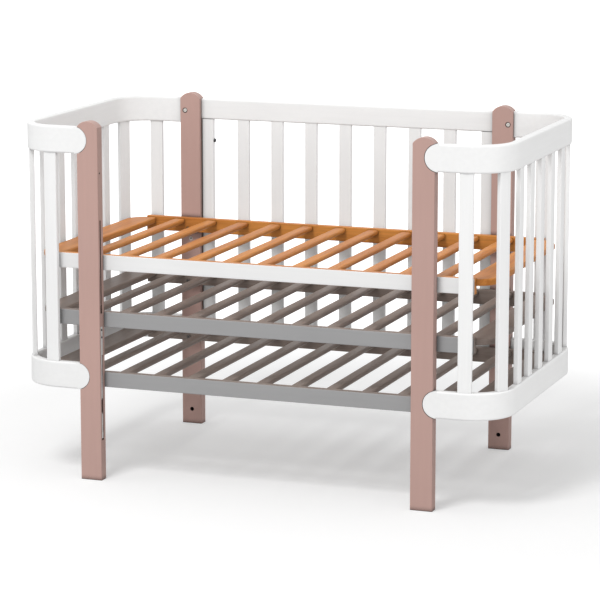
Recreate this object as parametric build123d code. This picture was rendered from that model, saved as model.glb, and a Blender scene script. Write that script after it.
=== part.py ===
"""Convertible crib with two rounded U-shaped ends, a slatted back and slatted bed bases.

Millimetres. X runs along the crib, Y towards the back wall, Z up.
The origin lies on the floor under the middle of the crib.
"""
from build123d import *
import math
import os

# Posts: four upright boards with a rounded top.
post_setback = 200.5
post_width = 55.4
post_thickness = 28.0
crib_depth = 685.0
post_shoulder_z = 884.8
post_top_rise = 15.2
post_edge_round = 1.5

# U rails: a bent rail at the top and at the bottom of each end.
rail_outer_length = 1264.0
rail_corner_radius = 107.0
rail_height = 67.0
rail_thickness = 20.0
rail_edge_round = 5.0
rail_end_round = 1.5
top_rail_z = 852.6
bottom_rail_z = 262.6
rail_reach_into_post = 25.8
rail_end_gap = 0.9
rail_bolt_reach = 12.4

# Upright slats of the ends, set along the middle line of the U rails.
end_slat_width = 34.0
end_slat_thickness = 12.0
end_slat_round = 2.0
end_slat_pitch = 92.8
end_slats_each_way = 2
corner_slat_turns = (28.7, 84.3)
mortise_depth = 8.0
mortise_gap = 0.2
tenon_end_gap = 0.5

# Back panel between the back posts.
panel_recess = 14.0
panel_thickness = 14.0
panel_rail_height = 54.0
panel_top_rail_z = 856.8
panel_bottom_rail_z = 256.0
panel_edge_round = 4.5
stile_width = 33.3
panel_slat_width = 33.5
panel_slat_thickness = 10.0
panel_slat_round = 1.8
panel_end_space = 84.6
panel_slats_each_way = 3

# Bed bases: front and back rails, two rounded end boards and slats across.
platform_tops = {"top_platform": 566.7, "middle_platform": 424.0, "lower_platform": 271.7}
platform_rail_height = 38.0
platform_rail_thickness = 20.0
platform_rail_setback = 42.0
platform_rail_round = 2.0
platform_slat_drop = 3.0
platform_slat_width = 30.0
platform_slat_thickness = 12.5
platform_slat_round = 5.5
platform_slat_end_space = 69.0
platform_slats_each_way = 5
end_board_gap = 20.0
end_board_width = 68.0
end_board_thickness = 17.0
end_board_corner = 55.0
end_board_step = 14.5
end_board_round = 5.0
end_tongue_thickness = 8.0
end_tongue_width = 16.0

# Screws and threaded inserts.
bolt_shank = 6.0
bolt_gap = 0.25
bolt_end_gap = 1.0
bolt_head = 10.0
bolt_head_height = 3.6
hex_key = 4.0
hex_depth = 2.2
counterbore = 14.0
counterbore_depth = 4.0
insert_outer = 10.0
insert_length = 13.0
platform_bolt_drop = 28.5
spare_insert_z = 508.0
panel_bolt_z = (773.0, 400.0)

# Plain holes and guide slots of the posts.
foot_hole = 11.0
foot_hole_depth = 14.0
foot_hole_z = 39.5
guide_offset = 17.0
guide_pin_hole = 5.0
guide_pin_hole_z = 772.4
guide_pin_hole_depth = 12.0
guide_slot_width = 6.5
guide_slot_low_z = 422.6
guide_slot_high_z = 656.3
guide_slot_depth = 9.0
guide_entry_width = 9.5
guide_entry_height = 20.0

# Spring catches let into the front posts.
catch_groove_width = 10.0
catch_groove_depth = 12.0
catch_groove_low_z = 102.0
catch_groove_high_z = 390.0
catch_plate_width = 11.0
catch_plate_gap = 0.3
catch_plate_thickness = 1.5
catch_plate_low_z = 318.0
catch_screw_z = (381.3, 362.8)
catch_screw_shank = 2.6
catch_screw_length = 12.0
catch_screw_head = 5.0
catch_screw_head_height = 1.2
leaf_width = 7.0
leaf_offset = 1.0
leaf_thickness = 1.0
leaf_set_in = 0.5
leaf_low_z = 120.8
leaf_step_high_z = 209.6
leaf_step_low_z = 166.0
leaf_step_depth = 3.0
leaf_step_slope = 8.0
leaf_hinge_gap = 0.5
tip_low_z = 106.9
tip_height = 16.0
tip_width = 7.6
tip_thickness = 3.0
tip_overhang = 0.3

# How far a cutting shape reaches past the face it opens.
past_face = 1.0

post_x = rail_outer_length / 2 - post_setback
post_inner_x = post_x - post_width / 2
post_outer_x = post_x + post_width / 2
post_outer_y = crib_depth / 2
post_inner_y = post_outer_y - post_thickness
rail_inner_reach = post_outer_x - rail_reach_into_post
rail_round_x = rail_inner_reach + rail_height / 2
rail_line_x = rail_outer_length / 2 - rail_thickness / 2
rail_line_y = post_outer_y - rail_thickness / 2
rail_line_radius = rail_corner_radius - rail_thickness / 2
rail_bolt_x = rail_inner_reach + rail_bolt_reach
platform_rail_inner_y = post_inner_y - platform_rail_thickness
end_board_outer_x = rail_outer_length / 2 - rail_thickness - end_board_gap
end_board_inner_x = end_board_outer_x - end_board_width
end_board_corner_y = post_inner_y - end_board_step
platform_rail_length = 2 * (end_board_outer_x - platform_rail_setback)
platform_slat_pitch = (end_board_inner_x - platform_slat_end_space) / platform_slats_each_way
panel_slat_pitch = (post_inner_x - stile_width - panel_end_space) / panel_slats_each_way

os.makedirs("parts", exist_ok=True)


def save(node, solids):
    """Write one node as a group of its separate solids."""
    if len(solids) == 1:
        shape = solids[0]
    else:
        shape = Compound(children=list(solids))
    shape.label = node
    export_step(shape, "parts/" + node + ".step")


def block(x_low, x_high, y_low, y_high, z_low, z_high):
    """Box between two opposite corners."""
    size = Box(x_high - x_low, y_high - y_low, z_high - z_low)
    middle = ((x_low + x_high) / 2, (y_low + y_high) / 2, (z_low + z_high) / 2)
    return Pos(*middle) * size


def rod(radius, start, direction, length):
    """Cylinder that starts at a point and runs along a direction."""
    plane = Plane(origin=start, z_dir=direction)
    return plane * Cylinder(radius, length, align=(Align.CENTER, Align.CENTER, Align.MIN))


def rounded_bar(width, thickness, length, edge):
    """Upright bar with its four long edges rounded, standing on the XY plane."""
    return extrude(RectangleRounded(width, thickness, edge), length)


def mirrored(solid, side_x, side_y):
    """Copy of a solid for the +X, +Y corner in another corner of the crib."""
    if side_x < 0:
        solid = mirror(solid, Plane.YZ)
    if side_y < 0:
        solid = mirror(solid, Plane.XZ)
    return solid


def insert_ring(start, direction):
    """Threaded insert as a plain sleeve, its mouth at the start point."""
    sleeve = rod(insert_outer / 2, start, direction, insert_length)
    bore = rod(bolt_shank / 2 + bolt_gap, start, direction, insert_length)
    return sleeve - bore


def bolt(start, direction, length):
    """Bolt with a round head outside the start point and its shank along the direction."""
    back = tuple(-part for part in direction)
    shank = rod(bolt_shank / 2, start, direction, length)
    head = rod(bolt_head / 2, start, back, bolt_head_height)
    key_plane = Plane(origin=start, z_dir=back)
    socket = extrude(key_plane * RegularPolygon(hex_key / 2, 6, major_radius=False), bolt_head_height)
    floor = rod(bolt_head, start, back, bolt_head_height - hex_depth)
    return shank + (head - (socket - floor))


# U rails. The plan outline is followed from post to post round the end.
def u_rail(middle_z):
    """Bent rail of the +X end with rounded ends that lie in the posts."""
    low = middle_z - rail_height / 2
    outer = Pos(0, 0, low) * extrude(
        RectangleRounded(rail_outer_length, crib_depth, rail_corner_radius), rail_height
    )
    inner = Pos(0, 0, low) * extrude(
        RectangleRounded(
            rail_outer_length - 2 * rail_thickness,
            crib_depth - 2 * rail_thickness,
            rail_corner_radius - rail_thickness,
        ),
        rail_height,
    )
    ring = outer - inner
    half = block(rail_round_x, rail_outer_length, -crib_depth, crib_depth, low, low + rail_height)
    bend = ring & half
    long_edges = [
        edge for edge in bend.edges()
        if abs(edge.center().Z - middle_z) > rail_height / 2 - 0.01
        and edge.center().X > rail_round_x + 0.01
    ]
    bend = fillet(long_edges, rail_edge_round)
    for side in (-1, 1):
        nose = Plane(origin=(rail_round_x, side * post_outer_y, middle_z), z_dir=(0, -side, 0))
        disc = nose * Cylinder(
            rail_height / 2, rail_thickness, align=(Align.CENTER, Align.CENTER, Align.MIN)
        )
        keep = block(
            0, rail_round_x, -crib_depth, crib_depth,
            low - past_face, low + rail_height + past_face,
        )
        end = disc & keep
        rim = [
            edge for edge in end.edges()
            if edge.geom_type == GeomType.CIRCLE
        ]
        bend = bend + fillet(rim, rail_end_round)
    return bend


def slat_places():
    """Plan places (x, y, turn) of the end slats along the middle line of the +X rail."""
    places = []
    for step in range(-end_slats_each_way, end_slats_each_way + 1):
        places.append((rail_line_x, step * end_slat_pitch, 0.0))
    bend_x = rail_line_x - rail_line_radius
    bend_y = rail_line_y - rail_line_radius
    for turn in corner_slat_turns:
        x = bend_x + rail_line_radius * math.cos(math.radians(turn))
        y = bend_y + rail_line_radius * math.sin(math.radians(turn))
        places.append((x, y, turn))
        places.append((x, -y, -turn))
    return places


bottom_rail_top_z = bottom_rail_z + rail_height / 2
top_rail_low_z = top_rail_z - rail_height / 2
slat_low_z = bottom_rail_top_z - mortise_depth
slat_high_z = top_rail_low_z + mortise_depth - tenon_end_gap
end_slats = []
end_mortises = []
for place_x, place_y, turn in slat_places():
    spot = Pos(place_x, place_y, 0) * Rot(0, 0, turn)
    bar = rounded_bar(end_slat_thickness, end_slat_width, slat_high_z - slat_low_z, end_slat_round)
    end_slats.append(spot * Pos(0, 0, slat_low_z) * bar)
    pocket = rounded_bar(
        end_slat_thickness + 2 * mortise_gap,
        end_slat_width + 2 * mortise_gap,
        mortise_depth,
        end_slat_round + mortise_gap,
    )
    end_mortises.append((spot, pocket))

rail_bolts = []
rail_inserts = []
for name, middle_z, mouth_z in (
    ("top_rail", top_rail_z, top_rail_low_z),
    ("bottom_rail", bottom_rail_z, bottom_rail_top_z - mortise_depth),
):
    rail = u_rail(middle_z)
    for spot, pocket in end_mortises:
        rail = rail - spot * Pos(0, 0, mouth_z) * pocket
    seat_y = post_outer_y - rail_thickness
    for side in (-1, 1):
        mouth = (rail_bolt_x, side * seat_y, middle_z)
        rail = rail - rod(insert_outer / 2, mouth, (0, side, 0), insert_length)
        head_seat = (rail_bolt_x, side * (post_inner_y + counterbore_depth), middle_z)
        shank_length = seat_y + insert_length - post_inner_y - counterbore_depth - bolt_end_gap
        screw = bolt(head_seat, (0, side, 0), shank_length)
        ring = insert_ring(mouth, (0, side, 0))
        for end in (-1, 1):
            rail_bolts.append(mirrored(screw, end, 1))
            rail_inserts.append(mirrored(ring, end, 1))
    save("right_" + name, [rail])
    save("left_" + name, [mirrored(rail, -1, 1)])
save("rail_bolts", rail_bolts)
save("rail_inserts", rail_inserts)
save("right_end_slats", end_slats)
save("left_end_slats", [mirrored(bar, -1, 1) for bar in end_slats])

# Posts. The +X post is drilled and grooved, and the others are its mirror images.
platform_bolt_z = [top_z - platform_bolt_drop for top_z in platform_tops.values()]
insert_heights = platform_bolt_z + [spare_insert_z]


def plain_post():
    """Post at +X, +Y with its rounded top, rail pockets and drilled holes."""
    arc_middle = post_shoulder_z + post_top_rise
    with BuildSketch(Plane.XZ) as face:
        with BuildLine():
            Polyline(
                (post_inner_x, post_shoulder_z),
                (post_inner_x, 0),
                (post_outer_x, 0),
                (post_outer_x, post_shoulder_z),
            )
            ThreePointArc(
                (post_outer_x, post_shoulder_z), (post_x, arc_middle), (post_inner_x, post_shoulder_z)
            )
        make_face()
    body = Pos(0, post_outer_y, 0) * extrude(face.sketch, post_thickness)
    flat = [edge for edge in body.edges() if abs(edge.tangent_at(0.5).Y) < 0.5]
    body = fillet(flat, post_edge_round)
    pocket_y = post_outer_y - rail_thickness
    for middle_z in (top_rail_z, bottom_rail_z):
        mouth = Plane(origin=(rail_round_x, pocket_y, middle_z), z_dir=(0, 1, 0))
        round_pocket = mouth * Cylinder(
            rail_height / 2 + rail_end_gap,
            rail_thickness + past_face,
            align=(Align.CENTER, Align.CENTER, Align.MIN),
        )
        body = body - round_pocket
        hole = (rail_bolt_x, post_inner_y, middle_z)
        body = body - rod(counterbore / 2, hole, (0, 1, 0), counterbore_depth)
        body = body - rod(bolt_shank / 2 + bolt_gap, hole, (0, 1, 0), post_thickness)
    for height in insert_heights:
        body = body - rod(insert_outer / 2, (post_x, post_inner_y, height), (0, 1, 0), insert_length)
    body = body - rod(foot_hole / 2, (post_x, post_inner_y, foot_hole_z), (0, 1, 0), foot_hole_depth)
    return body


guide_y = post_inner_y + guide_offset
panel_y = post_inner_y + panel_recess
panel_middle_y = panel_y + panel_thickness / 2
back_post = plain_post()
for height in panel_bolt_z:
    mouth = (post_inner_x, panel_middle_y, height)
    back_post = back_post - rod(insert_outer / 2, mouth, (1, 0, 0), insert_length)

front_post = plain_post()
front_post = front_post - rod(
    guide_pin_hole / 2, (post_inner_x, guide_y, guide_pin_hole_z), (1, 0, 0), guide_pin_hole_depth
)
slot_half = guide_slot_width / 2
slot = block(
    post_inner_x - past_face, post_inner_x + guide_slot_depth,
    guide_y - slot_half, guide_y + slot_half,
    guide_slot_low_z, guide_slot_high_z - slot_half,
)
slot_end = (post_inner_x - past_face, guide_y, guide_slot_high_z - slot_half)
slot = slot + rod(slot_half, slot_end, (1, 0, 0), guide_slot_depth + past_face)
slot = slot + block(
    post_inner_x - past_face, post_inner_x + guide_slot_depth,
    guide_y - guide_entry_width / 2, guide_y + guide_entry_width / 2,
    guide_slot_low_z, guide_slot_low_z + guide_entry_height,
)
front_post = front_post - slot
groove_half = catch_groove_width / 2
seat_half = catch_plate_width / 2 + catch_plate_gap
plate_seat = post_inner_x + catch_plate_thickness
catch_seat_low_z = catch_plate_low_z - catch_plate_gap
groove = block(
    post_inner_x - past_face, post_inner_x + catch_groove_depth,
    guide_y - groove_half, guide_y + groove_half,
    catch_groove_low_z, catch_seat_low_z,
)
groove = groove + block(
    post_inner_x - past_face, plate_seat,
    guide_y - seat_half, guide_y + seat_half,
    catch_seat_low_z, catch_groove_high_z,
)
front_post = front_post - groove
for height in catch_screw_z:
    front_post = front_post - rod(
        catch_screw_shank / 2, (post_inner_x, guide_y, height), (1, 0, 0), catch_screw_length + past_face
    )

save("back_right_post", [back_post])
save("back_left_post", [mirrored(back_post, -1, 1)])
save("front_right_post", [mirrored(front_post, 1, -1)])
save("front_left_post", [mirrored(front_post, -1, -1)])

post_inserts = []
for height in insert_heights:
    ring = insert_ring((post_x, post_inner_y, height), (0, 1, 0))
    for side_x in (-1, 1):
        for side_y in (-1, 1):
            post_inserts.append(mirrored(ring, side_x, side_y))
save("post_inserts", post_inserts)

# Back panel.
panel_rail_half = panel_rail_height / 2
panel_slat_low_z = panel_bottom_rail_z + panel_rail_half - mortise_depth
panel_slat_high_z = panel_top_rail_z - panel_rail_half + mortise_depth - tenon_end_gap
panel_mortises = []
for step in range(-panel_slats_each_way, panel_slats_each_way + 1):
    place_x = step * panel_slat_pitch
    bar = rounded_bar(
        panel_slat_width, panel_slat_thickness, panel_slat_high_z - panel_slat_low_z, panel_slat_round
    )
    pocket = rounded_bar(
        panel_slat_width + 2 * mortise_gap,
        panel_slat_thickness + 2 * mortise_gap,
        mortise_depth,
        panel_slat_round + mortise_gap,
    )
    spot = Pos(place_x, panel_middle_y, 0)
    panel_mortises.append((spot, pocket))
    number = step + panel_slats_each_way + 1
    save("back_slat_" + str(number), [spot * Pos(0, 0, panel_slat_low_z) * bar])

for name, middle_z, mouth_z in (
    ("back_top_rail", panel_top_rail_z, panel_top_rail_z - panel_rail_half),
    ("back_bottom_rail", panel_bottom_rail_z, panel_bottom_rail_z + panel_rail_half - mortise_depth),
):
    rail = block(
        -post_inner_x, post_inner_x, panel_y, panel_y + panel_thickness,
        middle_z - panel_rail_half, middle_z + panel_rail_half,
    )
    rail = fillet(rail.edges().filter_by(Axis.X), panel_edge_round)
    for spot, pocket in panel_mortises:
        rail = rail - spot * Pos(0, 0, mouth_z) * pocket
    save(name, [rail])

stile_low_z = panel_bottom_rail_z + panel_rail_half
stile_high_z = panel_top_rail_z - panel_rail_half
stile_x = post_inner_x - stile_width / 2
stile = rounded_bar(stile_width, panel_thickness, stile_high_z - stile_low_z, panel_edge_round)
stile = Pos(stile_x, panel_middle_y, stile_low_z) * stile
panel_bolts = []
panel_nuts = []
for height in panel_bolt_z:
    seat = (post_inner_x - stile_width, panel_middle_y, height)
    stile = stile - rod(bolt_shank / 2 + bolt_gap, seat, (1, 0, 0), stile_width)
    screw = bolt(seat, (1, 0, 0), stile_width + insert_length - bolt_end_gap)
    ring = insert_ring((post_inner_x, panel_middle_y, height), (1, 0, 0))
    for side_x in (-1, 1):
        panel_bolts.append(mirrored(screw, side_x, 1))
        panel_nuts.append(mirrored(ring, side_x, 1))
save("back_right_stile", [stile])
save("back_left_stile", [mirrored(stile, -1, 1)])
save("panel_bolts", panel_bolts)
save("panel_inserts", panel_nuts)

# Bed bases.
slat_length = 2 * (platform_rail_inner_y + mortise_depth - tenon_end_gap)


def across(width, thickness, length, edge):
    """Bar that lies along Y, centred on the origin, with its long edges rounded."""
    flat = Plane(origin=(0, -length / 2, 0), x_dir=(1, 0, 0), z_dir=(0, 1, 0))
    return extrude(flat * RectangleRounded(width, thickness, edge), length)


for name, top_z in platform_tops.items():
    slat_z = top_z - platform_slat_drop - platform_slat_thickness / 2
    slats = []
    rail = block(
        -platform_rail_length / 2, platform_rail_length / 2,
        platform_rail_inner_y, post_inner_y,
        top_z - platform_rail_height, top_z,
    )
    rail = fillet(rail.edges().filter_by(Axis.X), platform_rail_round)
    for step in range(-platform_slats_each_way, platform_slats_each_way + 1):
        spot = Pos(step * platform_slat_pitch, 0, slat_z)
        slats.append(spot * across(
            platform_slat_width, platform_slat_thickness, slat_length, platform_slat_round
        ))
        rail = rail - spot * across(
            platform_slat_width + 2 * mortise_gap,
            platform_slat_thickness + 2 * mortise_gap,
            2 * (platform_rail_inner_y + mortise_depth),
            platform_slat_round + mortise_gap,
        )
    board_z = top_z - platform_slat_drop - end_board_thickness / 2
    tongue_x = (end_board_inner_x + platform_rail_length / 2) / 2
    rail_plain = block(
        -platform_rail_length / 2 - mortise_gap, platform_rail_length / 2 + mortise_gap,
        platform_rail_inner_y, post_inner_y,
        top_z - platform_rail_height, top_z,
    )
    outline = extrude(
        RectangleRounded(2 * end_board_outer_x, 2 * end_board_corner_y, end_board_corner),
        end_board_thickness,
    )
    board = Pos(0, 0, board_z - end_board_thickness / 2) * outline
    board = board & block(
        end_board_inner_x, 2 * end_board_outer_x, -crib_depth, crib_depth, 0, top_z
    )
    long_edges = [
        edge for edge in board.edges()
        if abs(edge.center().Z - board_z) > end_board_thickness / 2 - 0.01
        and abs(edge.center().Y) < end_board_corner_y - 0.5
    ]
    board = fillet(long_edges, end_board_round)
    board = board - rail_plain - mirrored(rail_plain, 1, -1)
    tongue = Pos(tongue_x, 0, board_z) * Box(end_tongue_width, slat_length, end_tongue_thickness)
    board = board + tongue
    for side_x in (-1, 1):
        rail = rail - Pos(side_x * tongue_x, 0, board_z) * Box(
            end_tongue_width + 2 * mortise_gap,
            2 * (platform_rail_inner_y + mortise_depth),
            end_tongue_thickness + 2 * mortise_gap,
        )
    bolt_z = top_z - platform_bolt_drop
    bolts = []
    for side_x in (-1, 1):
        seat = (side_x * post_x, platform_rail_inner_y, bolt_z)
        rail = rail - rod(bolt_shank / 2 + bolt_gap, seat, (0, 1, 0), platform_rail_thickness)
        screw = bolt(seat, (0, 1, 0), platform_rail_thickness + insert_length - bolt_end_gap)
        bolts.append(screw)
        bolts.append(mirrored(screw, 1, -1))
    save(name + "_back_rail", [rail])
    save(name + "_front_rail", [mirrored(rail, 1, -1)])
    save(name + "_right_board", [board])
    save(name + "_left_board", [mirrored(board, -1, 1)])
    if name == "top_platform":
        for number, bar in enumerate(slats, start=1):
            save(name + "_slat_" + str(number), [bar])
    else:
        save(name + "_slats", slats)
    save(name + "_bolts", bolts)

# Spring catches in the inner sides of the front posts.
half_plate = catch_plate_width / 2
plate = block(
    post_inner_x, plate_seat, guide_y - half_plate, guide_y + half_plate,
    catch_plate_low_z, catch_groove_high_z - catch_plate_gap,
)
catch_screws = []
for height in catch_screw_z:
    seat = (post_inner_x, guide_y, height)
    plate = plate - rod(catch_screw_shank / 2 + bolt_gap, seat, (1, 0, 0), catch_plate_thickness)
    screw = rod(catch_screw_shank / 2, seat, (1, 0, 0), catch_screw_length)
    screw = screw + rod(catch_screw_head / 2, seat, (-1, 0, 0), catch_screw_head_height)
    for side_x in (-1, 1):
        catch_screws.append(mirrored(screw, side_x, -1))

leaf_out = post_inner_x + leaf_set_in
leaf_deep = leaf_out + leaf_step_depth
leaf_path = (
    (leaf_out, catch_plate_low_z - leaf_hinge_gap),
    (leaf_out, leaf_step_high_z),
    (leaf_deep, leaf_step_high_z - leaf_step_slope),
    (leaf_deep, leaf_step_low_z + leaf_step_slope),
    (leaf_out, leaf_step_low_z),
    (leaf_out, leaf_low_z),
)
leaf_back = [(x + leaf_thickness, z) for x, z in reversed(leaf_path)]
with BuildSketch(Plane.XZ) as leaf_face:
    with BuildLine():
        Polyline(*leaf_path, *leaf_back, close=True)
    make_face()
leaf_y = guide_y + leaf_offset
leaf = Pos(0, leaf_y + leaf_width / 2, 0) * extrude(leaf_face.sketch, leaf_width)
tip_out = leaf_out - tip_overhang
tip_high_z = tip_low_z + tip_height
tip = block(
    tip_out, tip_out + tip_thickness,
    leaf_y - tip_width / 2, leaf_y + tip_width / 2,
    tip_low_z, tip_high_z,
)
tip = tip - block(
    leaf_out, leaf_out + leaf_thickness,
    leaf_y - leaf_width / 2, leaf_y + leaf_width / 2,
    leaf_low_z, tip_high_z,
)
save("catch_plates", [mirrored(plate, side_x, -1) for side_x in (-1, 1)])
save("catch_screws", catch_screws)
for side_x, word in ((-1, "left"), (1, "right")):
    save(word + "_catch_leaf", [mirrored(leaf, side_x, -1)])
    save(word + "_catch_tip", [mirrored(tip, side_x, -1)])
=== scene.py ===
import bpy
import math
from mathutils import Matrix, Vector


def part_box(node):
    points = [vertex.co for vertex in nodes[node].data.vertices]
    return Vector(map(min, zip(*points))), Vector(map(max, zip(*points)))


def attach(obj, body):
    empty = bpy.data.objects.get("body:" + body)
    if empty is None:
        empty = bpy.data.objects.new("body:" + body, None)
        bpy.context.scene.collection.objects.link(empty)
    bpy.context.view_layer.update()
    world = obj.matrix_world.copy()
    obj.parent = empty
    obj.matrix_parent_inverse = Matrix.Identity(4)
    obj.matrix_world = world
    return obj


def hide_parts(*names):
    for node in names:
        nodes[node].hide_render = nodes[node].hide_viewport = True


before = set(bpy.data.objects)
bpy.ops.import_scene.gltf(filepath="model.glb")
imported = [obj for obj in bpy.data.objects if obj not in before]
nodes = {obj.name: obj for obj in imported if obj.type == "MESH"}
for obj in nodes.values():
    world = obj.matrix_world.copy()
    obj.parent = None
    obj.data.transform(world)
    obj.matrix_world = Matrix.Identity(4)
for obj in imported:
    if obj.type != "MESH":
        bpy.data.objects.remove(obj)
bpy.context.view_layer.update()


# Posts: four upright boards of solid wood with a rounded top, sprayed in a dusty rose satin
# paint. They stand on the floor. The U rails and the bases are screwed to them from the
# inside, the back panel through its stiles.
def add(tree, kind, place, values=None, **settings):
    """A new node in a tree, with its settings and the values of its inputs."""
    made = tree.nodes.new(kind)
    made.location = place
    for key, value in settings.items():
        setattr(made, key, value)
    for label, value in (values or {}).items():
        made.inputs[label].default_value = value
    return made


def group_with(name, inputs, outputs):
    """An empty shader group with named inputs (name, type, start value) and outputs."""
    tree = bpy.data.node_groups.new(name, "ShaderNodeTree")
    for label, kind, start in inputs:
        socket = tree.interface.new_socket(label, in_out="INPUT", socket_type=kind)
        socket.default_value = start
    for label, kind in outputs:
        tree.interface.new_socket(label, in_out="OUTPUT", socket_type=kind)
    return tree, add(tree, "NodeGroupInput", (-900, 0)), add(tree, "NodeGroupOutput", (700, 0))


# Shared effect: spray paint over wood, with a very fine texture. The stretch runs with the
# board, so the faint swelling of the grain under the paint follows it.
surface_outputs = [
    ("Colour", "NodeSocketColor"),
    ("Roughness", "NodeSocketFloat"),
    ("Height", "NodeSocketFloat"),
]
spray, spray_in, spray_out = group_with(
    "spray_paint",
    [
        ("Paint", "NodeSocketColor", (0.8, 0.8, 0.8, 1)),
        ("Stretch", "NodeSocketVector", (1.0, 1.0, 1.0)),
        ("Grain", "NodeSocketFloat", 0.3),
        ("Dullness", "NodeSocketFloat", 0.4),
    ],
    surface_outputs,
)
where = add(spray, "ShaderNodeTexCoord", (-1100, -200))
along = add(spray, "ShaderNodeVectorMath", (-700, -100), operation="MULTIPLY")
spray.links.new(where.outputs["Object"], along.inputs[0])
spray.links.new(spray_in.outputs["Stretch"], along.inputs[1])
fibre = add(spray, "ShaderNodeTexNoise", (-500, 0), {"Scale": 90, "Detail": 5})
spray.links.new(along.outputs[0], fibre.inputs["Vector"])
mist = add(spray, "ShaderNodeTexNoise", (-500, -250), {"Scale": 900, "Detail": 2})
spray.links.new(where.outputs["Object"], mist.inputs["Vector"])
cloud = add(spray, "ShaderNodeTexNoise", (-500, -500), {"Scale": 5, "Detail": 3})
spray.links.new(where.outputs["Object"], cloud.inputs["Vector"])
shade = add(spray, "ShaderNodeMapRange", (-250, -450), {"To Min": 0.95, "To Max": 1.03})
spray.links.new(cloud.outputs["Fac"], shade.inputs["Value"])
streak = add(
    spray, "ShaderNodeMapRange", (-250, -100),
    {"From Min": 0.35, "From Max": 0.65, "To Min": 0.985, "To Max": 1.008},
)
spray.links.new(fibre.outputs["Fac"], streak.inputs["Value"])
both = add(spray, "ShaderNodeMath", (-50, -250), operation="MULTIPLY")
spray.links.new(shade.outputs[0], both.inputs[0])
spray.links.new(streak.outputs[0], both.inputs[1])
tint = add(spray, "ShaderNodeVectorMath", (150, 100), operation="SCALE")
spray.links.new(spray_in.outputs["Paint"], tint.inputs[0])
spray.links.new(both.outputs[0], tint.inputs["Scale"])
spray.links.new(tint.outputs[0], spray_out.inputs["Colour"])
mist_dullness = 0.12
dull = add(
    spray, "ShaderNodeMath", (150, -100), {1: mist_dullness}, operation="MULTIPLY_ADD"
)
spray.links.new(mist.outputs["Fac"], dull.inputs[0])
spray.links.new(spray_in.outputs["Dullness"], dull.inputs[2])
spray.links.new(dull.outputs[0], spray_out.inputs["Roughness"])
swell = add(spray, "ShaderNodeMath", (150, -300), operation="MULTIPLY")
spray.links.new(fibre.outputs["Fac"], swell.inputs[0])
spray.links.new(spray_in.outputs["Grain"], swell.inputs[1])
mist_height = 0.25
rise = add(spray, "ShaderNodeMath", (350, -300), {1: mist_height}, operation="MULTIPLY_ADD")
spray.links.new(mist.outputs["Fac"], rise.inputs[0])
spray.links.new(swell.outputs[0], rise.inputs[2])
spray.links.new(rise.outputs[0], spray_out.inputs["Height"])


# Shared effect: painted shade. Ambient occlusion darkens the colour in holes, slots and narrow
# gaps, and at the joints between boards.
cavity, cavity_in, cavity_out = group_with(
    "cavity_shade",
    [("Surface", "NodeSocketColor", (0.8, 0.8, 0.8, 1)), ("Darkest", "NodeSocketFloat", 0.3)],
    [("Colour", "NodeSocketColor")],
)
open_air = add(
    cavity, "ShaderNodeAmbientOcclusion", (-600, -150), {"Distance": 0.015}, samples=8
)
depth = add(
    cavity, "ShaderNodeMapRange", (-350, -150),
    {"From Min": 0.28, "From Max": 0.92, "To Max": 1.0},
)
cavity.links.new(open_air.outputs["AO"], depth.inputs["Value"])
cavity.links.new(cavity_in.outputs["Darkest"], depth.inputs["To Min"])
painted_shade = add(cavity, "ShaderNodeVectorMath", (0, 0), operation="SCALE")
cavity.links.new(cavity_in.outputs["Surface"], painted_shade.inputs[0])
cavity.links.new(depth.outputs[0], painted_shade.inputs["Scale"])
cavity.links.new(painted_shade.outputs[0], cavity_out.inputs["Colour"])


def new_material(name):
    """A material, its node tree and its Principled shader."""
    made = bpy.data.materials.new(name)
    made.use_nodes = True
    return made, made.node_tree, made.node_tree.nodes["Principled BSDF"]


def blended(tree, factor, first, second, place):
    """The colour between two others, by a factor from 0 to 1."""
    mix = add(tree, "ShaderNodeMix", place, data_type="RGBA")
    colour_a, colour_b, colour_result = mix.inputs[6], mix.inputs[7], mix.outputs[2]
    tree.links.new(factor, mix.inputs["Factor"])
    tree.links.new(first, colour_a)
    tree.links.new(second, colour_b)
    return colour_result


def coloured(tree, colour, darkest=0.3, bounce=0.35):
    """Takes a colour to the Principled shader: with painted shade in hollows, paler in the light
    it throws.
    """
    # Painted shade: the colour darkens where ambient occlusion finds hollows and gaps.
    hollow_shade = add(tree, "ShaderNodeGroup", (-450, 250), {"Darkest": darkest}, node_tree=cavity)
    tree.links.new(colour, hollow_shade.inputs["Surface"])
    shaded = hollow_shade.outputs["Colour"]
    pale = add(tree, "ShaderNodeHueSaturation", (-250, 350), {"Saturation": bounce})
    tree.links.new(shaded, pale.inputs["Color"])
    ray = add(tree, "ShaderNodeLightPath", (-450, 500))
    shown = blended(
        tree, ray.outputs["Is Diffuse Ray"], shaded, pale.outputs["Color"], (-100, 250)
    )
    tree.links.new(shown, tree.nodes["Principled BSDF"].inputs["Base Color"])


def relief(tree, height, strength):
    """Fine relief of the surface, over edges that are sanded softly round."""
    edges = add(tree, "ShaderNodeBevel", (-600, -350), {"Radius": 0.0007}, samples=4)
    bump = add(
        tree, "ShaderNodeBump", (-300, -250), {"Strength": strength, "Distance": 0.0005}
    )
    tree.links.new(height, bump.inputs["Height"])
    tree.links.new(edges.outputs[0], bump.inputs["Normal"])
    tree.links.new(bump.outputs[0], tree.nodes["Principled BSDF"].inputs["Normal"])


# The grain is drawn out along X, Y or Z.
STRETCH = {"X": (0.06, 1.0, 1.0), "Y": (1.0, 0.06, 1.0), "Z": (1.0, 1.0, 0.06)}


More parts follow.
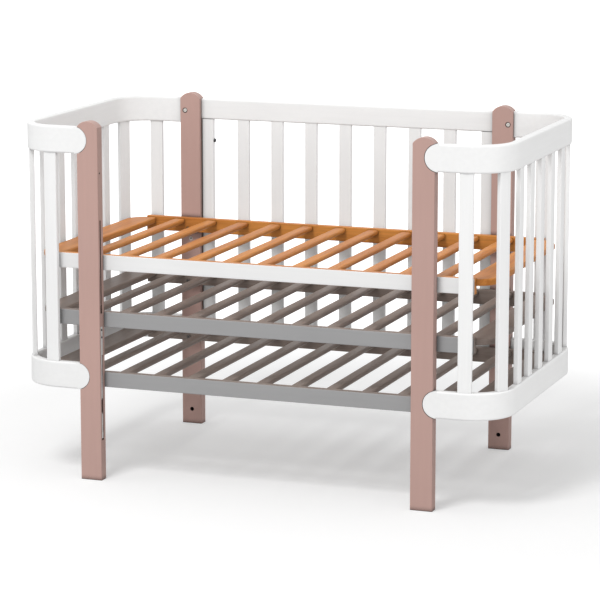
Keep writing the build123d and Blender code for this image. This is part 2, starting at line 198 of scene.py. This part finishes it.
def painted(name, colour, run, dullness=0.38, grain=0.3, darkest=0.42):
    """Satin paint on wood whose grain runs along X, Y or Z."""
    made, tree, face = new_material(name)
    coat = add(
        tree, "ShaderNodeGroup", (-600, 0),
        {"Paint": (*colour, 1), "Stretch": STRETCH[run], "Grain": grain, "Dullness": dullness},
        node_tree=spray,
    )
    # Painted shade in hollows and gaps, down to the darkest factor.
    coloured(tree, coat.outputs["Colour"], darkest=darkest)
    relief(tree, coat.outputs["Height"], strength=0.12)
    tree.links.new(coat.outputs["Roughness"], face.inputs["Roughness"])
    face.inputs["Specular IOR Level"].default_value = 0.3
    return made


def dress(names, material):
    """Gives CAD nodes a material."""
    for name in names:
        mesh = nodes[name].data
        mesh.materials.clear()
        mesh.materials.append(material)


rose = (0.57, 0.372, 0.327)
post_names = ["front_left_post", "front_right_post", "back_left_post", "back_right_post"]
# Deep painted shade in the posts' holes, slots, pockets and gaps.
dress(post_names, painted("rose_paint", rose, "Z", darkest=0.06))

# U rails: each end has a wooden strip bent round in a U at the top and at the bottom, in white
# satin paint. Its round ends are let into the posts and screwed there.
white = (0.93, 0.93, 0.927)
rail_names = ["left_top_rail", "right_top_rail", "left_bottom_rail", "right_bottom_rail"]
dress(rail_names, painted("white_rail_paint", white, "Y", dullness=0.34))


# End slats: flat upright bars with rounded corners, nine in each end, glued into mortises of
# the U rails. They follow the bend of the rail, each square to its middle line.
def solids_of(name):
    """Low and high corners of each separate solid of a CAD node."""
    mesh = nodes[name].data
    spots = [tuple(round(value, 5) for value in point.co) for point in mesh.vertices]
    leader = {spot: spot for spot in spots}

    def lead(spot):
        while leader[spot] != spot:
            leader[spot] = leader[leader[spot]]
            spot = leader[spot]
        return spot

    for edge in mesh.edges:
        first, second = (lead(spots[index]) for index in edge.vertices)
        leader[first] = second
    groups = {}
    for spot in leader:
        groups.setdefault(lead(spot), []).append(spot)
    return sorted(
        (Vector(map(min, zip(*group))), Vector(map(max, zip(*group)))) for group in groups.values()
    )


def growth_tree(name, sizes):
    """An empty geometry group with a point set, sizes and a material as its inputs."""
    tree = bpy.data.node_groups.new(name, "GeometryNodeTree")
    tree.interface.new_socket("Places", in_out="INPUT", socket_type="NodeSocketGeometry")
    for label, start in sizes:
        socket = tree.interface.new_socket(label, in_out="INPUT", socket_type="NodeSocketFloat")
        socket.default_value = start
    tree.interface.new_socket("Finish", in_out="INPUT", socket_type="NodeSocketMaterial")
    tree.interface.new_socket("Geometry", in_out="OUTPUT", socket_type="NodeSocketGeometry")
    return tree, add(tree, "NodeGroupInput", (-1200, 0)), add(tree, "NodeGroupOutput", (1200, 0))


def worked_out(tree, first, operation, second, place):
    """A size worked out from two others, each of them a socket or a number."""
    step = add(tree, "ShaderNodeMath", place, operation=operation)
    for value, socket in zip((first, second), step.inputs):
        if isinstance(value, bpy.types.NodeSocket):
            tree.links.new(value, socket)
        else:
            socket.default_value = value
    return step.outputs[0]


def set_out(tree, given, shape, result):
    """Ends a group: the shape at every place, turned by the place's turn, in its material."""
    turn = add(
        tree, "GeometryNodeInputNamedAttribute", (300, -300), {"Name": "turn"},
        data_type="FLOAT_VECTOR",
    )
    copies = add(tree, "GeometryNodeInstanceOnPoints", (500, 0))
    tree.links.new(given.outputs["Places"], copies.inputs["Points"])
    tree.links.new(shape, copies.inputs["Instance"])
    tree.links.new(turn.outputs["Attribute"], copies.inputs["Rotation"])
    real = add(tree, "GeometryNodeRealizeInstances", (700, 0))
    tree.links.new(copies.outputs[0], real.inputs[0])
    finish = add(tree, "GeometryNodeSetMaterial", (900, 0))
    tree.links.new(real.outputs[0], finish.inputs["Geometry"])
    tree.links.new(given.outputs["Finish"], finish.inputs["Material"])
    tree.links.new(finish.outputs[0], result.inputs["Geometry"])


def grow(name, tree, places, sizes, finish, old_nodes):
    """One piece of the crib from a geometry group and its places (point, turn)."""
    seed = bpy.data.meshes.new(name + "_places")
    seed.from_pydata([point for point, turn in places], [], [])
    turns = seed.attributes.new("turn", "FLOAT_VECTOR", "POINT")
    for item, (point, turn) in zip(turns.data, places):
        item.vector = turn
    holder = bpy.data.objects.new(name + "_places", seed)
    bpy.context.scene.collection.objects.link(holder)
    modifier = holder.modifiers.new(name, "NODES")
    modifier.node_group = tree
    for socket in tree.interface.items_tree:
        if socket.name in sizes:
            modifier[socket.identifier] = sizes[socket.name]
        if socket.name == "Finish":
            modifier[socket.identifier] = finish
    live = holder.evaluated_get(bpy.context.evaluated_depsgraph_get())
    mesh = bpy.data.meshes.new_from_object(live)
    mesh.validate()
    piece = bpy.data.objects.new(name, mesh)
    holder.modifiers.remove(modifier)
    bpy.data.objects.remove(holder)
    bpy.context.scene.collection.objects.link(piece)
    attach(piece, "crib")
    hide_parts(*old_nodes)


slat_tree, slat_given, slat_result = growth_tree(
    "round_cornered_slats",
    [("Width", 0.03), ("Thickness", 0.01), ("Length", 0.5), ("Corner", 0.002)],
)
slat_size = slat_given.outputs
section = add(slat_tree, "GeometryNodeCurvePrimitiveQuadrilateral", (-900, 0))
slat_tree.links.new(slat_size["Width"], section.inputs["Width"])
slat_tree.links.new(slat_size["Thickness"], section.inputs["Height"])
rounded = add(slat_tree, "GeometryNodeFilletCurve", (-700, 0), {"Count": 5}, mode="POLY")
slat_tree.links.new(section.outputs["Curve"], rounded.inputs["Curve"])
slat_tree.links.new(slat_size["Corner"], rounded.inputs["Radius"])
half_up = worked_out(slat_tree, slat_size["Length"], "MULTIPLY", 0.5, (-900, -300))
half_down = worked_out(slat_tree, half_up, "MULTIPLY", -1.0, (-700, -400))
low_point = add(slat_tree, "ShaderNodeCombineXYZ", (-500, -400))
high_point = add(slat_tree, "ShaderNodeCombineXYZ", (-500, -250))
slat_tree.links.new(half_down, low_point.inputs["Z"])
slat_tree.links.new(half_up, high_point.inputs["Z"])
middle_line = add(slat_tree, "GeometryNodeCurvePrimitiveLine", (-300, -250))
slat_tree.links.new(low_point.outputs[0], middle_line.inputs["Start"])
slat_tree.links.new(high_point.outputs[0], middle_line.inputs["End"])
bar = add(slat_tree, "GeometryNodeCurveToMesh", (-100, 0), {"Fill Caps": True})
slat_tree.links.new(middle_line.outputs["Curve"], bar.inputs["Curve"])
slat_tree.links.new(rounded.outputs["Curve"], bar.inputs["Profile Curve"])
set_out(slat_tree, slat_given, bar.outputs["Mesh"], slat_result)

end_slat = {"Width": 0.034, "Thickness": 0.012, "Corner": 0.002}
outer_bend = 0.107
rail_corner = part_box("right_top_rail")[1]
bend_x, bend_y = rail_corner[0] - outer_bend, rail_corner[1] - outer_bend
slat_paint = painted("white_slat_paint", white, "Z")
for name in ("left_end_slats", "right_end_slats"):
    boxes = solids_of(name)
    places = []
    for low, high in boxes:
        middle = (low + high) / 2
        past = math.copysign(max(abs(middle.y) - bend_y, 0.0), middle.y)
        turn = math.atan2(past, math.copysign(abs(middle.x) - bend_x, middle.x)) if past else 0.0
        places.append((middle, (0.0, 0.0, math.pi / 2 + turn)))
    end_slat["Length"] = boxes[0][1].z - boxes[0][0].z
    grow(name + "_dressed", slat_tree, places, end_slat, slat_paint, [name])

# Back panel: a top rail, a bottom rail and two stiles with seven slats between them, all in the
# white paint. The slats stand in mortises of the two rails.
panel_rail_names = ["back_top_rail", "back_bottom_rail"]
stile_names = ["back_left_stile", "back_right_stile"]
dress(panel_rail_names, painted("white_panel_rail_paint", white, "X"))
dress(stile_names, painted("white_panel_stile_paint", white, "Z"))
back_names = ["back_slat_%d" % number for number in range(1, 8)]
back_boxes = [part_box(name) for name in back_names]
back_low, back_high = (Vector(corner) for corner in back_boxes[0])
back_slat = {
    "Width": back_high.x - back_low.x,
    "Thickness": back_high.y - back_low.y,
    "Length": back_high.z - back_low.z,
    "Corner": 0.0018,
}
back_places = [((Vector(low) + Vector(high)) / 2, (0.0, 0.0, 0.0)) for low, high in back_boxes]
grow("back_slats_dressed", slat_tree, back_places, back_slat, slat_paint, back_names)


# Top bed base: clear lacquered beech slats and end boards between a front and a back rail,
# screwed to the posts. The front face of the front rail is painted white.
timber, timber_in, timber_out = group_with(
    "lacquered_wood",
    [
        ("Light wood", "NodeSocketColor", (0.7, 0.4, 0.2, 1)),
        ("Dark wood", "NodeSocketColor", (0.5, 0.25, 0.1, 1)),
        ("Stretch", "NodeSocketVector", (1.0, 1.0, 1.0)),
    ],
    surface_outputs,
)
where = add(timber, "ShaderNodeTexCoord", (-1100, -200))
along = add(timber, "ShaderNodeVectorMath", (-700, -100), operation="MULTIPLY")
timber.links.new(where.outputs["Object"], along.inputs[0])
timber.links.new(timber_in.outputs["Stretch"], along.inputs[1])
growth = add(
    timber, "ShaderNodeTexNoise", (-500, 100), {"Scale": 38, "Detail": 4, "Distortion": 0.6}
)
timber.links.new(along.outputs[0], growth.inputs["Vector"])
pores = add(timber, "ShaderNodeTexNoise", (-500, -150), {"Scale": 320, "Detail": 3})
timber.links.new(along.outputs[0], pores.inputs["Vector"])
band = add(
    timber, "ShaderNodeMapRange", (-250, 100), {"From Min": 0.33, "From Max": 0.68},
    interpolation_type="SMOOTHSTEP",
)
timber.links.new(growth.outputs["Fac"], band.inputs["Value"])
pore_dark = add(
    timber, "ShaderNodeMapRange", (-250, -150),
    {"From Min": 0.3, "From Max": 0.6, "To Min": 0.86, "To Max": 1.02},
)
timber.links.new(pores.outputs["Fac"], pore_dark.inputs["Value"])
dark_wood, light_wood = timber_in.outputs["Dark wood"], timber_in.outputs["Light wood"]
grain = blended(timber, band.outputs[0], dark_wood, light_wood, (0, 100))
tone = add(timber, "ShaderNodeVectorMath", (200, 100), operation="SCALE")
timber.links.new(grain, tone.inputs[0])
timber.links.new(pore_dark.outputs[0], tone.inputs["Scale"])
timber.links.new(tone.outputs[0], timber_out.inputs["Colour"])
sheen = add(timber, "ShaderNodeMapRange", (200, -100), {"To Min": 0.34, "To Max": 0.5})
timber.links.new(growth.outputs["Fac"], sheen.inputs["Value"])
timber.links.new(sheen.outputs[0], timber_out.inputs["Roughness"])
timber.links.new(pores.outputs["Fac"], timber_out.inputs["Height"])


def lacquered(name, light, dark, run, paint=None, paint_front=0.0):
    """Lacquered wood with the grain along X or Y, and a painted face in front of a Y value."""
    made, tree, face = new_material(name)
    wood = add(
        tree, "ShaderNodeGroup", (-900, 100),
        {"Light wood": (*light, 1), "Dark wood": (*dark, 1), "Stretch": STRETCH[run]},
        node_tree=timber,
    )
    colour = wood.outputs["Colour"]
    if paint:
        coat = add(
            tree, "ShaderNodeGroup", (-900, -200),
            {"Paint": (*paint, 1), "Stretch": STRETCH[run]},
            node_tree=spray,
        )
        place = add(tree, "ShaderNodeTexCoord", (-1100, -450))
        parts = add(tree, "ShaderNodeSeparateXYZ", (-900, -450))
        tree.links.new(place.outputs["Object"], parts.inputs[0])
        skin = add(
            tree, "ShaderNodeMath", (-700, -450), {1: paint_front}, operation="LESS_THAN"
        )
        tree.links.new(parts.outputs["Y"], skin.inputs[0])
        colour = blended(tree, skin.outputs[0], colour, coat.outputs["Colour"], (-500, 100))
    # Painted shade in hollows, gaps and joints.
    coloured(tree, colour)
    relief(tree, wood.outputs["Height"], strength=0.1)
    tree.links.new(wood.outputs["Roughness"], face.inputs["Roughness"])
    face.inputs["Specular IOR Level"].default_value = 0.2
    return made


beech = {"light": (0.76, 0.302, 0.068), "dark": (0.58, 0.198, 0.039)}
paint_depth = 0.0012
front_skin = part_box("top_platform_front_rail")[0][1] + paint_depth
beech_across = lacquered("beech_across", run="Y", **beech)
dress(["top_platform_left_board", "top_platform_right_board"], beech_across)


def base_slats(name, boxes, finish, old_nodes):
    """The slats of one bed base, lying across it from rail to rail."""
    low, high = (Vector(corner) for corner in boxes[0])
    size = high - low
    lying = (-math.pi / 2, 0.0, 0.0)
    places = [((Vector(first) + Vector(last)) / 2, lying) for first, last in boxes]
    sizes = {"Width": size.x, "Thickness": size.z, "Length": size.y, "Corner": 0.0055}
    grow(name, slat_tree, places, sizes, finish, old_nodes)


top_names = ["top_platform_slat_%d" % number for number in range(1, 12)]
base_slats("top_slats_dressed", [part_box(name) for name in top_names], beech_across, top_names)
dress(["top_platform_back_rail"], lacquered("beech_rail", run="X", **beech))
dress(
    ["top_platform_front_rail"],
    lacquered("beech_rail_white_face", run="X", paint=white, paint_front=front_skin, **beech),
)

# Middle and lower bed bases: the same base in a taupe finish, screwed to the posts. The front
# face of the front rail is painted grey.
taupe = {"light": (0.325, 0.262, 0.228), "dark": (0.268, 0.21, 0.182)}
grey = (0.385, 0.383, 0.386)
taupe_across = lacquered("taupe_across", run="Y", **taupe)
taupe_rail = lacquered("taupe_rail", run="X", **taupe)
grey_face = lacquered(
    "taupe_rail_grey_face", run="X", paint=grey, paint_front=front_skin, **taupe
)
for base in ("middle_platform", "lower_platform"):
    slats = base + "_slats"
    dress([base + "_left_board", base + "_right_board"], taupe_across)
    base_slats(slats + "_dressed", solids_of(slats), taupe_across, [slats])
    dress([base + "_back_rail"], taupe_rail)
    dress([base + "_front_rail"], grey_face)


# Screws: machine screws with a hexagon socket, screwed into threaded inserts in the wood. Those
# of the U rails are zinc plated, those of the back panel black, and those of the bases have a
# dull finish close to the colour of their rails.
def metal(name, colour, rough, darkest=0.5, metallic=1.0):
    """Plated or blackened steel with fine turning marks."""
    made, tree, face = new_material(name)
    face.inputs["Metallic"].default_value = metallic
    plating = add(tree, "ShaderNodeRGB", (-700, 250))
    plating.outputs[0].default_value = (*colour, 1)
    # Painted shade: the plating darkens in counterbores, sockets and gaps.
    coloured(tree, plating.outputs[0], darkest=darkest, bounce=1.0)
    place = add(tree, "ShaderNodeTexCoord", (-900, 0))
    marks = add(tree, "ShaderNodeTexNoise", (-700, 0), {"Scale": 700})
    tree.links.new(place.outputs["Object"], marks.inputs["Vector"])
    smoothest, roughest = rough - 0.08, rough + 0.12
    spread = add(
        tree, "ShaderNodeMapRange", (-500, 0), {"To Min": smoothest, "To Max": roughest}
    )
    tree.links.new(marks.outputs["Fac"], spread.inputs["Value"])
    tree.links.new(spread.outputs[0], face.inputs["Roughness"])
    bump = add(tree, "ShaderNodeBump", (-300, -200), {"Strength": 0.15, "Distance": 0.0002})
    tree.links.new(marks.outputs["Fac"], bump.inputs["Height"])
    tree.links.new(bump.outputs[0], face.inputs["Normal"])
    return made


bright = metal("zinc_plate", (0.92, 0.90, 0.85), 0.3, darkest=0.7, metallic=0.45)
black = metal("black_oxide", (0.07, 0.07, 0.075), 0.4)
bronze = metal("bronzed_steel", (0.30, 0.16, 0.075), 0.45)
dulled = metal("grey_steel", (0.20, 0.18, 0.17), 0.5)


def lathe_part(tree, radii, height, corners, place, floor=None):
    """A truncated cone round Z, upwards from the origin or from a floor height."""
    body = add(tree, "GeometryNodeMeshCone", place, {"Vertices": corners})
    tree.links.new(radii[0], body.inputs["Radius Bottom"])
    tree.links.new(radii[1], body.inputs["Radius Top"])
    tree.links.new(height, body.inputs["Depth"])
    if floor is None:
        return body.outputs["Mesh"]
    lift = add(tree, "ShaderNodeCombineXYZ", (place[0], place[1] - 150))
    tree.links.new(floor, lift.inputs["Z"])
    moved = add(tree, "GeometryNodeTransform", (place[0] + 200, place[1]))
    tree.links.new(body.outputs["Mesh"], moved.inputs["Geometry"])
    tree.links.new(lift.outputs[0], moved.inputs["Translation"])
    return moved.outputs["Geometry"]


def thread(tree, size, radius, place):
    """The thread as a thin helix round Z, from the origin upwards."""
    helix = add(tree, "GeometryNodeCurveSpiral", place, {"Resolution": 16})
    tree.links.new(size["Turns"], helix.inputs["Rotations"])
    tree.links.new(radius, helix.inputs["Start Radius"])
    tree.links.new(radius, helix.inputs["End Radius"])
    tree.links.new(size["Length"], helix.inputs["Height"])
    ridge = add(
        tree, "GeometryNodeCurvePrimitiveCircle", (place[0], place[1] - 250), {"Resolution": 4}
    )
    tree.links.new(size["Thread"], ridge.inputs["Radius"])
    wound = add(
        tree, "GeometryNodeCurveToMesh", (place[0] + 200, place[1]), {"Fill Caps": True}
    )
    tree.links.new(helix.outputs["Curve"], wound.inputs["Curve"])
    tree.links.new(ridge.outputs["Curve"], wound.inputs["Profile Curve"])
    return wound.outputs["Mesh"]


def cut(tree, shape, tool, place):
    """A shape with a tool cut out of it."""
    less = add(tree, "GeometryNodeMeshBoolean", place, operation="DIFFERENCE")
    tree.links.new(shape, less.inputs["Mesh 1"])
    tree.links.new(tool, less.inputs["Mesh 2"])
    return less.outputs["Mesh"]


# A screw stands on the origin: its shank and thread go up, its head goes down.
screw_tree, screw_given, screw_result = growth_tree(
    "socket_screws",
    [
        ("Head", 0.005), ("Head height", 0.0036), ("Rim", 0.0006),
        ("Key", 0.0023), ("Key depth", 0.0022),
        ("Shank", 0.003), ("Length", 0.03), ("Thread", 0.0004), ("Turns", 20.0),
    ],
)
HEAD_CORNERS = 40
SHANK_CORNERS = 24
BORE_CORNERS = 32
KEY_CORNERS = 6
screw_size = screw_given.outputs
head_radius, rim_height = screw_size["Head"], screw_size["Rim"]
head_height, key_depth = screw_size["Head height"], screw_size["Key depth"]
rim_radius = worked_out(screw_tree, head_radius, "SUBTRACT", rim_height, (-1000, 300))
head_face = worked_out(screw_tree, head_height, "MULTIPLY", -1.0, (-1000, 150))
rim_edge = worked_out(screw_tree, head_face, "ADD", rim_height, (-800, 150))
drum_height = worked_out(screw_tree, head_height, "SUBTRACT", rim_height, (-1000, 0))
rim = lathe_part(
    screw_tree, (rim_radius, head_radius), rim_height, HEAD_CORNERS, (-600, 500), head_face
)
drum = lathe_part(
    screw_tree, (head_radius, head_radius), drum_height, HEAD_CORNERS, (-600, 250), rim_edge
)
head = add(screw_tree, "GeometryNodeMeshBoolean", (-200, 400), operation="UNION")
screw_tree.links.new(rim, head.inputs["Mesh 2"])
screw_tree.links.new(drum, head.inputs["Mesh 2"])
key_height = worked_out(screw_tree, key_depth, "MULTIPLY", 2.0, (-1000, -150))
key_floor = worked_out(screw_tree, head_face, "SUBTRACT", key_depth, (-800, -150))
key = lathe_part(
    screw_tree, (screw_size["Key"], screw_size["Key"]), key_height, KEY_CORNERS, (-600, 0),
    key_floor,
)
socketed = cut(screw_tree, head.outputs["Mesh"], key, (0, 300))
core = worked_out(
    screw_tree, screw_size["Shank"], "SUBTRACT", screw_size["Thread"], (-1000, -450)
)
shank = lathe_part(
    screw_tree, (core, core), screw_size["Length"], SHANK_CORNERS, (-600, -250)
)
outer_ridge = thread(screw_tree, screw_size, core, (-600, -500))
screw = add(screw_tree, "GeometryNodeJoinGeometry", (200, 0))
for part in (socketed, shank, outer_ridge):
    screw_tree.links.new(part, screw.inputs[0])
set_out(screw_tree, screw_given, screw.outputs[0], screw_result)

ALONG_X = 0
ALONG_Y = 1


def pointing(name, axis, head_height=0.0):
    """Places and length of a node's screws or inserts, which aim away from the middle."""
    solids = solids_of(name)
    places = []
    for low, high in solids:
        start = (low + high) / 2
        way = Vector((0.0, 0.0, 0.0))
        way[axis] = math.copysign(1.0, start[axis])
        start[axis] = way[axis] * (min(abs(low[axis]), abs(high[axis])) + head_height)
        places.append((start, way.to_track_quat("Z", "Y").to_euler()[:]))
    low, high = solids[0]
    return places, high[axis] - low[axis] - head_height


pitch = 0.001
machine_screw = {
    "Head": 0.005, "Head height": 0.0036, "Rim": 0.0006, "Key": 0.0023, "Key depth": 0.0022,
    "Shank": 0.003, "Thread": 0.0003,
}
for name, axis, finish in (
    ("rail_bolts", ALONG_Y, bright),
    ("panel_bolts", ALONG_X, black),
    ("top_platform_bolts", ALONG_Y, bronze),
    ("middle_platform_bolts", ALONG_Y, dulled),
    ("lower_platform_bolts", ALONG_Y, dulled),
):
    places, length = pointing(name, axis, machine_screw["Head height"])
    sizes = dict(machine_screw, Length=length, Turns=length / pitch)
    grow(name + "_dressed", screw_tree, places, sizes, finish, [name])

# Threaded inserts: zinc plated sleeves screwed into the wood, with a thread inside for the
# machine screws. Those of the unused height are open to view.
insert_tree, insert_given, insert_result = growth_tree(
    "threaded_inserts",
    [("Outer", 0.005), ("Bore", 0.00325), ("Length", 0.013), ("Thread", 0.0003), ("Turns", 13.0)],
)
insert_size = insert_given.outputs
outer_radius, bore_radius = insert_size["Outer"], insert_size["Bore"]
bore_floor = worked_out(insert_tree, insert_size["Length"], "MULTIPLY", -0.5, (-1000, -150))
bore_height = worked_out(insert_tree, insert_size["Length"], "MULTIPLY", 2.0, (-1000, 0))
sleeve = lathe_part(
    insert_tree, (outer_radius, outer_radius), insert_size["Length"], HEAD_CORNERS, (-600, 300)
)
bore = lathe_part(
    insert_tree, (bore_radius, bore_radius), bore_height, BORE_CORNERS, (-600, 0), bore_floor
)
inner_ridge = thread(insert_tree, insert_size, bore_radius, (-600, -400))
insert = add(insert_tree, "GeometryNodeJoinGeometry", (200, 0))
insert_tree.links.new(cut(insert_tree, sleeve, bore, (0, 200)), insert.inputs[0])
insert_tree.links.new(inner_ridge, insert.inputs[0])
set_out(insert_tree, insert_given, insert.outputs[0], insert_result)
wood_insert = {"Outer": 0.005, "Bore": 0.00325, "Thread": 0.0003}
for name, axis in (
    ("rail_inserts", ALONG_Y), ("post_inserts", ALONG_Y), ("panel_inserts", ALONG_X)
):
    places, length = pointing(name, axis)
    sizes = dict(wood_insert, Length=length, Turns=length / pitch)
    grow(name + "_dressed", insert_tree, places, sizes, bright, [name])

# Spring catches: a zinc plated steel plate in each front post, held by two small black screws,
# a spring steel leaf below it and a white plastic tip on the leaf.
plate_steel = metal("satin_nickel", (0.93, 0.92, 0.90), 0.35, metallic=0.35)
leaf_steel = metal("spring_steel", (0.90, 0.89, 0.87), 0.28, metallic=0.5)
tip_plastic = painted("white_plastic", (0.86, 0.86, 0.85), "Z", dullness=0.5, grain=0.0)
dress(["catch_plates"], plate_steel)
dress(["left_catch_leaf", "right_catch_leaf"], leaf_steel)
dress(["left_catch_tip", "right_catch_tip"], tip_plastic)
small_pitch = 0.0006
small_screw = {
    "Head": 0.0025, "Head height": 0.0012, "Rim": 0.0003, "Key": 0.0011, "Key depth": 0.0007,
    "Shank": 0.0013, "Thread": 0.00015,
}
places, length = pointing("catch_screws", ALONG_X, small_screw["Head height"])
sizes = dict(small_screw, Length=length, Turns=length / small_pitch)
grow("catch_screws_dressed", screw_tree, places, sizes, black, ["catch_screws"])


# Studio: a pale floor that runs out to white, one soft lamp high in front, a weak one from the
# left, and one from the front right that lights only the white pieces. The camera is at the
# photograph's place.
def sheet_of_light(name, place, aim, size, power):
    """A soft rectangular lamp that faces a point."""
    lamp = bpy.data.lights.new(name, "AREA")
    lamp.shape = "RECTANGLE"
    lamp.size, lamp.size_y = size
    lamp.energy = power
    holder = bpy.data.objects.new(name, lamp)
    holder.location = place
    holder.rotation_euler = (Vector(aim) - Vector(place)).to_track_quat("-Z", "Y").to_euler()
    bpy.context.scene.collection.objects.link(holder)
    return holder


sheet_of_light("key_lamp", place=(-0.7, -3.2, 4.8), aim=(0, 0, 0.3), size=(1.5, 1.5), power=122)
sheet_of_light("side_lamp", place=(-4.0, -1.5, 2.2), aim=(0, 0, 0.4), size=(2.0, 2.0), power=12)
white_side_lamp = sheet_of_light(
    "white_side_lamp", place=(4.2, -1.6, 1.9), aim=(0, 0, 0.5), size=(2.5, 2.0), power=50
)
white_pieces = bpy.data.collections.new("white_pieces")
for name in rail_names + panel_rail_names + stile_names:
    white_pieces.objects.link(nodes[name])
for name in ("left_end_slats_dressed", "right_end_slats_dressed", "back_slats_dressed"):
    white_pieces.objects.link(bpy.data.objects[name])
white_side_lamp.light_linking.receiver_collection = white_pieces

reach = 30.0
floor_mesh = bpy.data.meshes.new("studio_floor")
floor_mesh.from_pydata(
    [(-reach, -reach, 0), (reach, -reach, 0), (reach, reach, 0), (-reach, reach, 0)],
    [],
    [(0, 1, 2, 3)],
)
studio_floor = bpy.data.objects.new("studio_floor", floor_mesh)
bpy.context.scene.collection.objects.link(studio_floor)
floor_paint = bpy.data.materials.new("floor_white")
floor_paint.use_nodes = True
tree = floor_paint.node_tree
tree.nodes.clear()
result = add(tree, "ShaderNodeOutputMaterial", (600, 0))
place = add(tree, "ShaderNodeTexCoord", (-1200, 100))
away = add(tree, "ShaderNodeVectorMath", (-1000, 100), operation="LENGTH")
tree.links.new(place.outputs["Object"], away.inputs[0])
fade = add(
    tree, "ShaderNodeMapRange", (-800, 100), {"From Min": 1.0, "From Max": 2.6},
    interpolation_type="SMOOTHSTEP",
)
tree.links.new(away.outputs["Value"], fade.inputs["Value"])
matt = add(tree, "ShaderNodeBsdfDiffuse", (0, 0), {"Color": (0.76, 0.76, 0.76, 1)})
glow = add(tree, "ShaderNodeEmission", (0, -200), {"Color": (1, 1, 1, 1)})
seen = add(tree, "ShaderNodeLightPath", (-800, -200))
lift = add(tree, "ShaderNodeMapRange", (-500, 0), {"To Min": 0.30, "To Max": 1.0})
tree.links.new(fade.outputs[0], lift.inputs["Value"])
camera_glow = add(tree, "ShaderNodeMath", (-200, -200), operation="MULTIPLY")
tree.links.new(seen.outputs["Is Camera Ray"], camera_glow.inputs[0])
tree.links.new(lift.outputs[0], camera_glow.inputs[1])
tree.links.new(camera_glow.outputs[0], glow.inputs["Strength"])
total = add(tree, "ShaderNodeAddShader", (300, 0))
tree.links.new(matt.outputs[0], total.inputs[0])
tree.links.new(glow.outputs[0], total.inputs[1])
tree.links.new(total.outputs[0], result.inputs["Surface"])
floor_mesh.materials.append(floor_paint)

world = bpy.data.worlds.new("studio_air")
bpy.context.scene.world = world
world.use_nodes = True
tree = world.node_tree
sky = tree.nodes["Background"]
sky.inputs["Color"].default_value = (1, 1, 1, 1)
seen = add(tree, "ShaderNodeLightPath", (-900, 0))
direct = add(tree, "ShaderNodeMath", (-700, 0), operation="MAXIMUM")
tree.links.new(seen.outputs["Is Camera Ray"], direct.inputs[0])
tree.links.new(seen.outputs["Is Glossy Ray"], direct.inputs[1])
clear = add(tree, "ShaderNodeMath", (-500, 0), operation="MAXIMUM")
tree.links.new(direct.outputs[0], clear.inputs[0])
tree.links.new(seen.outputs["Is Transmission Ray"], clear.inputs[1])
brightness = add(tree, "ShaderNodeMapRange", (-300, 0), {"To Min": 0.60, "To Max": 1.0})
tree.links.new(clear.outputs[0], brightness.inputs["Value"])
tree.links.new(brightness.outputs[0], sky.inputs["Strength"])

eye = bpy.data.cameras.new("studio_camera")
eye.lens = 167.667671
eye.sensor_width = 36
eye.sensor_fit = "AUTO"
eye.clip_end = 100
camera = bpy.data.objects.new("studio_camera", eye)
camera.location = (2.4077203, -6.5142357, 1.7464110)
camera.rotation_euler = (math.radians(79.2228), 0, math.radians(20.3094))
bpy.context.scene.collection.objects.link(camera)
bpy.context.scene.camera = camera
bpy.context.scene.view_settings.view_transform = "Standard"
